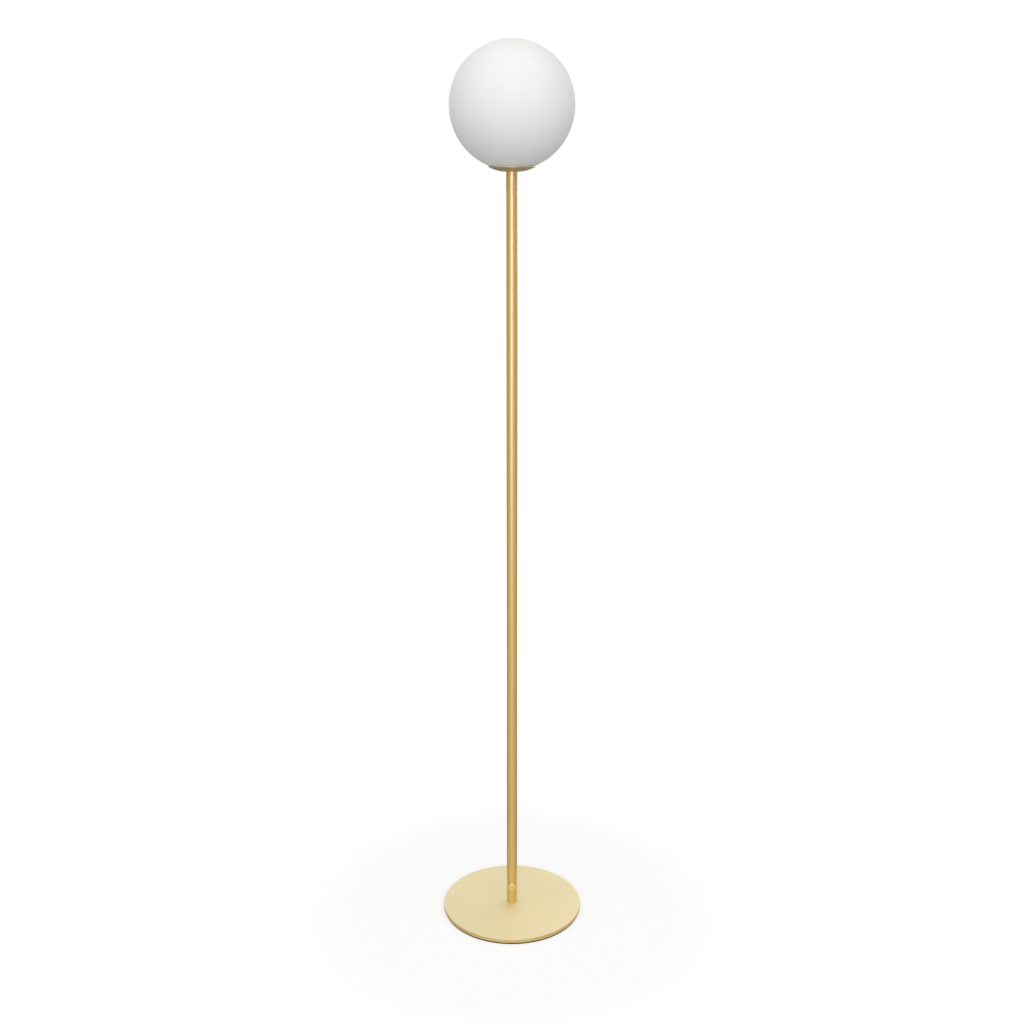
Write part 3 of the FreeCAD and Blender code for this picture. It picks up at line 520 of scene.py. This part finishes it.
def make_rod():
    """The hollow rod: its radius is 4.4 mm plus 0.6 mm of thread wave of 1 mm pitch, and no more than cones
    that bevel its two ends; its bore is plain."""
    root, depth, pitch, end = 4.4, 0.6, 1.0, 4.3
    bore, bevel = 3.5, 0.3
    foot, top = heights_of("threaded_rod")
    height = np.linspace(top, foot, 577)[:, None]
    angle = headings(72)[None]
    cone = end + np.minimum(height - foot, top - height)
    outside = np.minimum(root + depth * thread_wave(height, angle, pitch), cone)
    inside = np.array([bore + bevel, bore, bore, bore + bevel])[:, None] + 0 * angle
    inside_height = np.array([foot, foot + bevel, top - bevel, top])[:, None]
    points, faces = turned_rows(
        np.vstack([outside, inside]), np.vstack([height, inside_height]) + 0 * angle,
    )
    new_piece("rod_thread", points, faces, zinc, "lamp", ("threaded_rod",), "zinc_steel", 50)


def hex_nut(foot, top):
    """A nut 14 mm across its flats: the hexagon's radius at each angle, cut by a cone of 30 degrees at the
    top and the bottom, round a bevelled hole."""
    flat, face, bore, bevel = 7, 6.65, 5.05, 0.35
    angle = headings(144)[None]
    hexagon = flat / np.cos(np.mod(angle, np.pi / 3) - np.pi / 6)
    down = np.linspace(0, 0.84, 9)
    upper = np.minimum(hexagon, face + down[:, None] / math.tan(math.radians(30)))
    hole = np.array([bore + bevel, bore, bore, bore + bevel])[:, None] + 0 * angle
    heights = np.concatenate([
        top - down, [top - 0.9, foot + 0.9], foot + down[::-1], [foot, foot + bevel, top - bevel, top],
    ])
    return turned_rows(
        np.vstack([upper, hexagon, hexagon, upper[::-1], hole]), heights[:, None] + 0 * angle,
    )


def make_nuts():
    """The two nuts on the rod, one on the washer and one on the bracket."""
    nut = 3
    foot, top = heights_of("rod_nuts")
    points, faces = stacked(hex_nut(foot, foot + nut), hex_nut(top - nut, top))
    new_piece("hex_nuts", points, faces, zinc, "lamp", ("rod_nuts",), "zinc_steel", 30)


def make_ring(name, node, inner, outer, ease, finish, slot, body="lamp"):
    """A turned ring with eased edges, as high as its node."""
    foot, top = heights_of(node)
    corners = [(inner, top), (outer, top), (outer, foot), (inner, foot)]
    points, faces = revolve(eased(corners, [ease] * 4, 5), segments=120)
    new_piece(name, points, faces, finish, body, (node,), slot, 40)


def pan_screw():
    """A screw along +Z from its tip: a domed head 5.6 mm across with a slot sunk across it, and a shank whose
    thread has a pitch of 0.5 mm. The slot's walls are smooth steps 0.36 mm from its middle."""
    segments, dome, length = 96, 2.35, 5
    angle = headings(segments)[None]
    level = 0 * angle
    out = np.linspace(0.06, dome, 26)[:, None]
    across = np.abs(out * np.sin(angle))
    slot = 0.75 / (1 + np.exp(np.clip((across - 0.36) / 0.03, -50, 50)))
    crown = 1.8 - 0.35 * (out / dome) ** 2 - slot
    bend = np.radians(np.linspace(20, 90, 6))[:, None]
    edge_out, edge_high = dome + 0.45 * np.sin(bend), 1.05 + 0.4 * np.cos(bend)
    edge_across = np.abs(edge_out * np.sin(angle))
    edge_high = edge_high - slot[-1:] * np.clip((2.75 - edge_out) / 0.4, 0, 1) * (edge_across < 0.5)
    shank_high = np.linspace(0, -length, 121)[:, None]
    shank = np.minimum(1.2 + 0.3 * thread_wave(shank_high, angle, 0.5), 1.0 + (shank_high + length))
    rows = np.vstack([out + level, edge_out + level, 2.8 + level, 2.7 + level, shank])
    heights = np.vstack([crown, edge_high, 0.1 + level, level, shank_high + level])
    points = np.stack([rows * np.cos(angle), rows * np.sin(angle), heights], axis=2).reshape(-1, 3)
    faces = [
        grid_faces(len(rows), segments), fan(len(points), 0, segments),
        fan(len(points) + 1, (len(rows) - 1) * segments, segments, last=True),
    ]
    return np.vstack([points, [0, 0, 1.05], [0, 0, -length]]), faces


def make_bracket_screws():
    """The two screws that hold the lampholder in its bracket, heads outwards along X and slots aslant."""
    seat = 12.8
    low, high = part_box("bracket_screws")
    axis = (low[2] + high[2]) / 2 / MM
    sides = []
    for way, slant in ((1, 0.6), (-1, 1.9)):
        points, faces = pan_screw()
        turned = swung(points, slant)
        placed = np.stack([way * (seat + turned[:, 2]), way * turned[:, 0], axis + turned[:, 1]], axis=1)
        sides.append((placed, faces))
    points, faces = stacked(*sides)
    new_piece("pan_screws", points, faces, screw_zinc, "lamp", ("bracket_screws",), "screw_steel", 35)


# --- clips, bracket and lampholder -----------------------------------------------------------

SAME_POINT = 2e-6  # metres


def soft_line(corners, steps):
    """Points along the quadratic B-spline of some corners, from the first to the last. It stays inside
    them."""
    corners = np.asarray(corners, float)
    rows = []
    for i in range(len(corners) - 2):
        a = corners[i] if i == 0 else (corners[i] + corners[i + 1]) / 2
        b = corners[i + 1]
        c = corners[i + 2] if i == len(corners) - 3 else (corners[i + 1] + corners[i + 2]) / 2
        t = np.linspace(0, 1, steps, endpoint=i == len(corners) - 3)[:, None]
        rows.append((1 - t) ** 2 * a + 2 * t * (1 - t) * b + t**2 * c)
    return np.vstack(rows)


def strap_along(line, width, thick, ease, end_ease):
    """A strap of even thickness along a line of (across, up) points in the XZ plane, as wide as `width` along
    Y, with eased long edges. `end_ease` rounds the corners of its last end."""
    line = np.asarray(line, float)
    ahead = np.gradient(line, axis=0)
    ahead /= np.linalg.norm(ahead, axis=1)[:, None]
    out = np.stack([ahead[:, 1], -ahead[:, 0]], axis=1)
    side, half = width / 2 - ease, thick / 2 - ease
    turn = np.radians(np.linspace(0, 90, 4))
    section = np.vstack([
        np.stack([way_y * (side + ease * np.cos(t)), way_x * (half + ease * np.sin(t))], axis=1)
        for way_y, way_x, t in ((1, 1, turn), (-1, 1, turn[::-1]), (-1, -1, turn), (1, -1, turn[::-1]))
    ])
    left = np.linalg.norm(line[-1] - line, axis=1)
    inset = end_ease - np.sqrt(np.clip(end_ease**2 - (end_ease - left) ** 2, 0, None))
    wide = 1 - np.where(left < end_ease, inset, 0) / (width / 2)
    flat = line[:, None] + section[None, :, 1:] * out[:, None]
    along_y = section[None, :, 0] * wide[:, None]
    points = np.stack([flat[..., 0], along_y, flat[..., 1]], axis=2)
    rows, columns = points.shape[:2]
    return points.reshape(-1, 3), [grid_faces(rows, columns), *lids(rows, columns)]


def make_clips():
    """The clip carrier: a thin disc and three leaves 9 mm wide. Each leaf leaves the disc's edge, bends up,
    bulges out at two thirds of its height and turns in at its tip."""
    disc_edge, disc_thick, wide, reach = 18.0, 0.8, 9.0, 24.4
    foot = heights_of("clip_carrier")[0]
    grip = math.sqrt(reach**2 - (wide / 2) ** 2)
    middle = soft_line(
        [(15.0, 0.4), (18.25, 0.4), (grip - 1.26, 4.38), (grip - 0.3, 9.49), (grip - 2.1, 14.55)], 14,
    )
    leaf, leaf_faces = strap_along(middle, wide, thick=0.6, ease=0.14, end_ease=2.4)
    corners = [(ROD_HOLE, disc_thick), (disc_edge, disc_thick), (disc_edge, 0), (ROD_HOLE, 0)]
    parts = [revolve(eased(corners, [0.15] * 4, 4), segments=120)]
    for turned_by in (90, 210, 330):
        parts.append((swung(leaf, math.radians(turned_by)), leaf_faces))
    points, faces = stacked(*parts)
    points[:, 2] += foot
    new_piece("spring_clips", points, faces, spring_steel, "lamp", ("clip_carrier",), "spring_steel", 40)


def softened(node, name, ease, finish, body="lamp"):
    """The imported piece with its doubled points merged, its flat faces made whole and its edges rounded."""
    mesh = nodes[node].data.copy()
    mesh.transform(nodes[node].matrix_world)
    work = bmesh.new()
    work.from_mesh(mesh)
    bmesh.ops.remove_doubles(work, verts=work.verts, dist=SAME_POINT)
    bmesh.ops.dissolve_limit(work, angle_limit=math.radians(2), verts=work.verts, edges=work.edges)
    bmesh.ops.recalc_face_normals(work, faces=work.faces)
    work.to_mesh(mesh)
    work.free()
    mesh.materials.clear()
    mesh.materials.append(finish)
    mesh.shade_smooth()
    mesh.set_sharp_from_angle(angle=math.radians(35))
    piece = bpy.data.objects.new(name, mesh)
    scene.collection.objects.link(piece)
    rounding = piece.modifiers.new("eased_edges", "BEVEL")
    rounding.width, rounding.segments = ease * MM, 3
    rounding.limit_method, rounding.angle_limit = "ANGLE", math.radians(40)
    rounding.harden_normals = True
    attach(piece, body)
    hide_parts(node)


# --- the light source, the globe's seal and the switch ---------------------------------------

# A light chip's white frame and its yellow window, in millimetres: how far each row reaches from the chip's
# middle, and how far it rises from the board.
CHIP_FRAME = (0.9, 1.1, 1.15, 1.3, 1.38, 1.38), (0.3, 0.5, 0.55, 0.55, 0.47, 0.0)
CHIP_PANE = (0.02, 0.5, 0.9, 1.08, 1.1), (0.52, 0.51, 0.48, 0.44, 0.35)


def make_bulb_cover():
    """The frosted cover: a tube with a half round end, 1 mm thick, its open edge eased."""
    outer, inner, ease = 8, 7, 0.3
    foot, top = heights_of("bulb_cover")
    middle = (0, top - outer)
    profile = np.vstack([
        [[0, top]], arc(middle, outer, 90, 0, 22)[1:],
        [[outer, foot + ease], [outer - ease, foot], [inner + ease, foot], [inner, foot + ease]],
        arc(middle, inner, 0, 90, 20)[:-1], [[0, top - (outer - inner)]],
    ])
    points, faces = revolve(profile, segments=96)
    new_piece("bulb_tube", points, faces, frosted_cover, "bulb", ("bulb_cover",), "bulb_cover", 45)


def chip_rows(middle, up, front, reach, rise):
    """A rounded square on the board's face, the sum of fourth powers of its two halves being one: rows of it
    at a reach from its middle and a rise from the board, closed at both ends."""
    segments, board_face = 48, 0.6
    angle = headings(segments)[None]
    unit = (np.cos(angle) ** 4 + np.sin(angle) ** 4) ** -0.25
    reach, rise = np.array(reach)[:, None], np.array(rise)[:, None] + 0 * angle
    a, b = reach * unit * np.cos(angle), reach * unit * np.sin(angle)
    points = np.stack([middle + front * a, -front * (board_face + rise), up + b], axis=2).reshape(-1, 3)
    return points, [grid_faces(len(reach), segments), *lids(len(reach), segments)]


def make_chips():
    """Ten light chips on each face of the board: a white frame and a yellow window that crowns a little."""
    first, pitch, aside = heights_of("bulb_board")[0] + 7.8, 5.0, 2.2
    spots = [
        (x, first + pitch * row, front) for front in (1, -1) for x in (-aside, aside) for row in range(5)
    ]
    frames = [chip_rows(*spot, *CHIP_FRAME) for spot in spots]
    panes = [chip_rows(*spot, *CHIP_PANE) for spot in spots]
    new_piece("chip_frames", *stacked(*frames), bulb_plastic, "bulb", slot="board")
    new_piece("chip_panes", *stacked(*panes), chip_yellow, "bulb", slot="board")


def make_gasket():
    """The gasket: a ring whose underside follows the saucer's circle of 56.8 mm and whose top follows the
    globe's circle of 100 mm, with eased edges. It keeps a little clear of both."""
    over_dish, under_globe = 0.03, 0.3
    foot, crown = heights_of("saucer")[0], heights_of("globe")[1]
    out = np.array([28.0, 28.15, *np.linspace(28.4, 32.6, 10), 32.85, 33.0])
    ease = np.array([0.2, 0.06, *[0] * 10, 0.06, 0.2])
    under = dish_heights(out, foot + DISH_UNDER + over_dish, DISH_FLOOR) + ease
    above = crown - GLOBE_RADIUS - under_globe - np.sqrt(GLOBE_RADIUS**2 - out**2) - ease
    profile = np.vstack([np.stack([out, above], axis=1), np.stack([out, under], axis=1)[::-1]])
    points, faces = revolve(profile, segments=160)
    new_piece("globe_seal", points, faces, gasket_rubber, "lamp", ("globe_gasket",), "gasket", 50)


def make_button():
    """The push button: a face that is part of a ball of 22.46 mm, with an eased edge, on a collar and a
    plunger. It is turned about its own axis and laid along Y."""
    ball, flat, ease = 22.46, 3.7, 0.25
    low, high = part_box("push_button")
    front, axis = -low[1] / MM, (low[2] + high[2]) / 2 / MM
    face = np.linspace(0, flat, 12)
    crown = ball - np.sqrt(ball**2 - face**2)
    profile = np.vstack([
        np.stack([face, -crown], axis=1), arc((flat, -0.555), ease, 75, 0, 5),
        [[3.95, -2.95], [4.3, -2.95], [4.35, -3.0], [4.35, -3.95], [1.8, -3.95], [1.8, -8.3], [1.65, -8.45],
         [0, -8.45]],
    ])
    points, faces = revolve(profile, segments=96)
    points = np.stack([points[:, 0], -(points[:, 2] + front), points[:, 1] + axis], axis=1)
    new_piece("button_face", points, faces, button_brass, "push_button", ("push_button",), "brass_button", 35)


def make_spring():
    """The button's return spring: a circle of 0.45 mm wire carried along a helix 5.2 mm across that runs
    along Y. Its pitch widens smoothly from half a millimetre in the end turns, which lie nearly flat, to a
    millimetre between them."""
    seat, clear, long = 1.3, 0.02, 5.56
    coil, wire, turns, sides = 2.6, 0.225, 6.5, 12
    low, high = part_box("button_spring")
    axis = (low[2] + high[2]) / 2 / MM
    turn = np.linspace(0, turns, 339)
    opened = np.clip((np.minimum(turn, turns - turn) - 0.8) / 0.4, 0, 1)
    climb = 0.62 + 0.55 * opened * opened * (3 - 2 * opened)
    along = np.concatenate([[0], np.cumsum((climb[1:] + climb[:-1]) / 2 * np.diff(turn))])
    along = seat + wire + clear + along / along[-1] * long
    swing = 2 * np.pi * turn
    line = np.stack([coil * np.cos(swing), -along, axis + coil * np.sin(swing)], axis=1)
    ahead = np.gradient(line, axis=0)
    ahead /= np.linalg.norm(ahead, axis=1)[:, None]
    out = np.stack([np.cos(swing), 0 * swing, np.sin(swing)], axis=1)
    aside = np.cross(out, ahead)
    around = headings(sides)[None, :, None]
    points = line[:, None] + wire * (np.cos(around) * out[:, None] + np.sin(around) * aside[:, None])
    faces = [grid_faces(len(line), sides), *lids(len(line), sides)]
    spring = new_piece(
        "return_spring", points.reshape(-1, 3), faces, spring_steel, "lamp", ("button_spring",),
        "spring_steel",
    )
    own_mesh(spring)


make_rod()
make_nuts()
make_spring()
make_ring("riser_ring", "riser_washer", ROD_HOLE, 8.75, 0.25, zinc, "zinc_steel")
make_ring("lock_ring", "lock_washer", ROD_HOLE, 8.5, 0.2, zinc, "zinc_steel")
make_ring("spacer_sleeve", "spacer_tube", ROD_HOLE, 7.0, 0.4, zinc, "zinc_steel")
make_ring("mouth_collar", "globe_collar", 24.7, 25.9, 0.3, collar_aluminium, "collar_aluminium", "globe")
make_clips()
make_bracket_screws()
make_bulb_cover()
make_chips()
make_gasket()
make_button()
softened("holder_bracket", "strap_bracket", 0.25, zinc)
softened("holder_body", "ceramic_holder", 0.5, holder_ceramic)
softened("bulb_base", "plug_base", 0.4, bulb_plastic, "bulb")
softened("bulb_board", "led_board", 0.12, solder_mask, "bulb")
softened("switch_bezel", "bezel_ring", 0.14, bezel_brass)
softened("cord_bush", "bush_collar", 0.2, bush_plastic)
softened("base_screw", "sunk_screw", 0.25, screw_zinc)


# --- studio and camera -----------------------------------------------------------------------

# Greys that reflections meet on the walls and on the floor, from the camera's side (-1) through the sides (0)
# to the backdrop (1). On the floor they are a painted pool of light, brightest in front of the lamp.
ROOM_SEEN = ((-1, 0.45), (-0.1, 0.36), (0.45, 0.42), (0.7, 0.75), (0.86, 0.97), (1, 1.0))
FLOOR_SEEN = ((-1, 0.8), (-0.6, 0.7), (0, 0.38), (0.5, 0.35), (1, 0.35))

# The scene's own pieces that the sheen panels reach, beside the stem.
BRASS_PIECES = ("saucer_dish", "foot_plate", "bezel_ring", "button_face")


def grey(value):
    """A full colour of one grey."""
    return (value, value, value, 1)


def greys(tree, value, stops):
    """Greys for a value from -1 to 1, eased between stops of (value, grey)."""
    ramp = add(tree, "ValToRGB", {"Fac": spread(tree, value, -1, 1, 0, 1)})
    ramp.color_ramp.interpolation = "EASE"
    ends = ramp.color_ramp.elements
    ends[0].color, ends[1].color = grey(stops[0][1]), grey(stops[-1][1])
    for at, tone in stops[1:-1]:
        ends.new((at + 1) / 2).color = grey(tone)
    return ramp.outputs["Color"]


def is_mirrored(tree, rays):
    """1 for a reflected or a transmitted ray, else 0."""
    outputs = {0: rays.outputs["Is Glossy Ray"], 1: rays.outputs["Is Transmission Ray"]}
    return add(tree, "Math", outputs, operation="MAXIMUM").outputs[0]


def make_floor():
    """A wide pale floor. To the camera it is white, kept just dark enough near the lamp to take its shadow.
    Reflections meet a painted pool of light on the floor, brightest in front of the lamp, and everything else
    a mid grey."""
    reach = 40.0
    near, far, near_glow, far_glow = 0.3, 1.2, 0.62, 1.0
    mesh = bpy.data.meshes.new("studio_floor")
    corners = [(-reach, -reach, 0), (reach, -reach, 0), (reach, reach, 0), (-reach, reach, 0)]
    mesh.from_pydata(corners, [], [(0, 1, 2, 3)])
    floor = bpy.data.objects.new("studio_floor", mesh)
    scene.collection.objects.link(floor)
    material = bpy.data.materials.new("studio_floor")
    material.use_nodes = True
    tree = material.node_tree
    tree.nodes.clear()
    rays = add(tree, "LightPath")
    mirrored = is_mirrored(tree, rays)
    where = add(tree, "TexCoord").outputs["Object"]
    away = add(tree, "VectorMath", {0: where}, operation="LENGTH").outputs["Value"]
    heading = add(tree, "VectorMath", {0: where}, operation="NORMALIZE").outputs["Vector"]
    # A painted pool of light on the floor, which only reflections see.
    pool = greys(tree, add(tree, "SeparateXYZ", {"Vector": heading}).outputs["Y"], FLOOR_SEEN)
    matt = add(tree, "BsdfDiffuse", {"Color": grey(0.6)}).outputs[0]
    shadow = add(tree, "BsdfDiffuse", {"Color": grey(0.45)}).outputs[0]
    glow = spread(tree, away, near, far, near_glow, far_glow)
    plain = add(tree, "Emission", {"Strength": glow}).outputs[0]
    shown = add(tree, "AddShader", {0: plain, 1: shadow}).outputs[0]
    painted_pool = add(tree, "Emission", {"Color": pool}).outputs[0]
    lit = add(tree, "MixShader", {0: mirrored, 1: matt, 2: painted_pool}).outputs[0]
    surface = add(tree, "MixShader", {0: rays.outputs["Is Camera Ray"], 1: lit, 2: shown}).outputs[0]
    tree.links.new(surface, add(tree, "OutputMaterial").inputs["Surface"])
    mesh.materials.append(material)


def make_world():
    """White to the camera. Reflections meet the walls' greys, which turn to white overhead; everything else
    gets a soft dome, brighter at the front."""
    front_dome, back_dome = 1.71, 0.49
    white = grey(1)
    world = bpy.data.worlds.new("studio")
    world.use_nodes = True
    scene.world = world
    tree = world.node_tree
    backdrop = tree.nodes["Background"]
    rays = add(tree, "LightPath")
    heading = add(tree, "SeparateXYZ", {"Vector": add(tree, "TexCoord").outputs["Generated"]})
    walls = greys(tree, heading.outputs["Y"], ROOM_SEEN)
    ceiling = spread(tree, heading.outputs["Z"], 0.25, 0.7, 0.0, 1.0)
    room = mixed(tree, ceiling, walls, white)
    mirrored = is_mirrored(tree, rays)
    dome = spread(tree, heading.outputs["Y"], -1, 0, front_dome, back_dome)
    fill = mixed(tree, mirrored, dome, room)
    shown = mixed(tree, rays.outputs["Is Camera Ray"], fill, white)
    tree.links.new(shown, backdrop.inputs["Color"])
    backdrop.inputs["Strength"].default_value = 1.0


def gather_brass():
    """The stem and the brass pieces in a collection of their own, which isn't shown by itself."""
    gathered = bpy.data.collections.new("brass_pieces")
    for piece in (nodes["stem_tube"], *(bpy.data.objects[name] for name in BRASS_PIECES)):
        gathered.objects.link(piece)
    return gathered


def make_light(name, place, aim, width, height, power, sheen_on=None):
    """A soft box of a width and height in metres, turned to face a point, hidden from the camera. One with
    `sheen_on` shows only in the gloss of that collection's pieces and lights nothing else."""
    lamp = bpy.data.lights.new(name, "AREA")
    lamp.shape, lamp.size, lamp.size_y, lamp.energy = "RECTANGLE", width, height, power
    made = bpy.data.objects.new(name, lamp)
    scene.collection.objects.link(made)
    made.location = place
    heading = np.array(aim, float) - np.array(place, float)
    tilt = math.atan2(math.hypot(heading[0], heading[1]), -heading[2])
    made.rotation_euler = (tilt, 0, math.atan2(heading[1], heading[0]) - math.pi / 2)
    made.visible_camera = False
    if sheen_on is not None:
        made.visible_diffuse = False
        made.light_linking.receiver_collection = sheen_on


def make_camera():
    """The camera fitted to the photograph: 42.3 degrees wide, level with the globe's lower part."""
    sensor, focal_length, tilt = 36.0, 46.582, 74.5676
    lens = bpy.data.cameras.new("photo_view")
    lens.sensor_fit, lens.sensor_width, lens.lens = "HORIZONTAL", sensor, focal_length
    camera = bpy.data.objects.new("photo_view", lens)
    scene.collection.objects.link(camera)
    camera.location = (0, -2.19104, 1.36731)
    camera.rotation_euler = (math.radians(tilt), 0, 0)
    scene.camera = camera


make_floor()
make_world()
brass = gather_brass()
make_light("key_box", (0.15, -2.2, 3.0), (0, 0, 1.3), 2.2, 2.0, power=5)
make_light("front_panel", (-0.25, -2.6, 1.15), (0, 0, 1.1), 1.4, 0.9, power=24, sheen_on=brass)
make_light("low_panel", (-0.25, -2.4, 0.4), (0, 0, 0.6), 1.2, 0.6, power=7, sheen_on=brass)
make_light("back_panel", (2.3, 2.0, 1.6), (0, 0, 0.2), 2.2, 1.4, power=26, sheen_on=brass)
make_camera()
scene.view_settings.view_transform = "Standard"
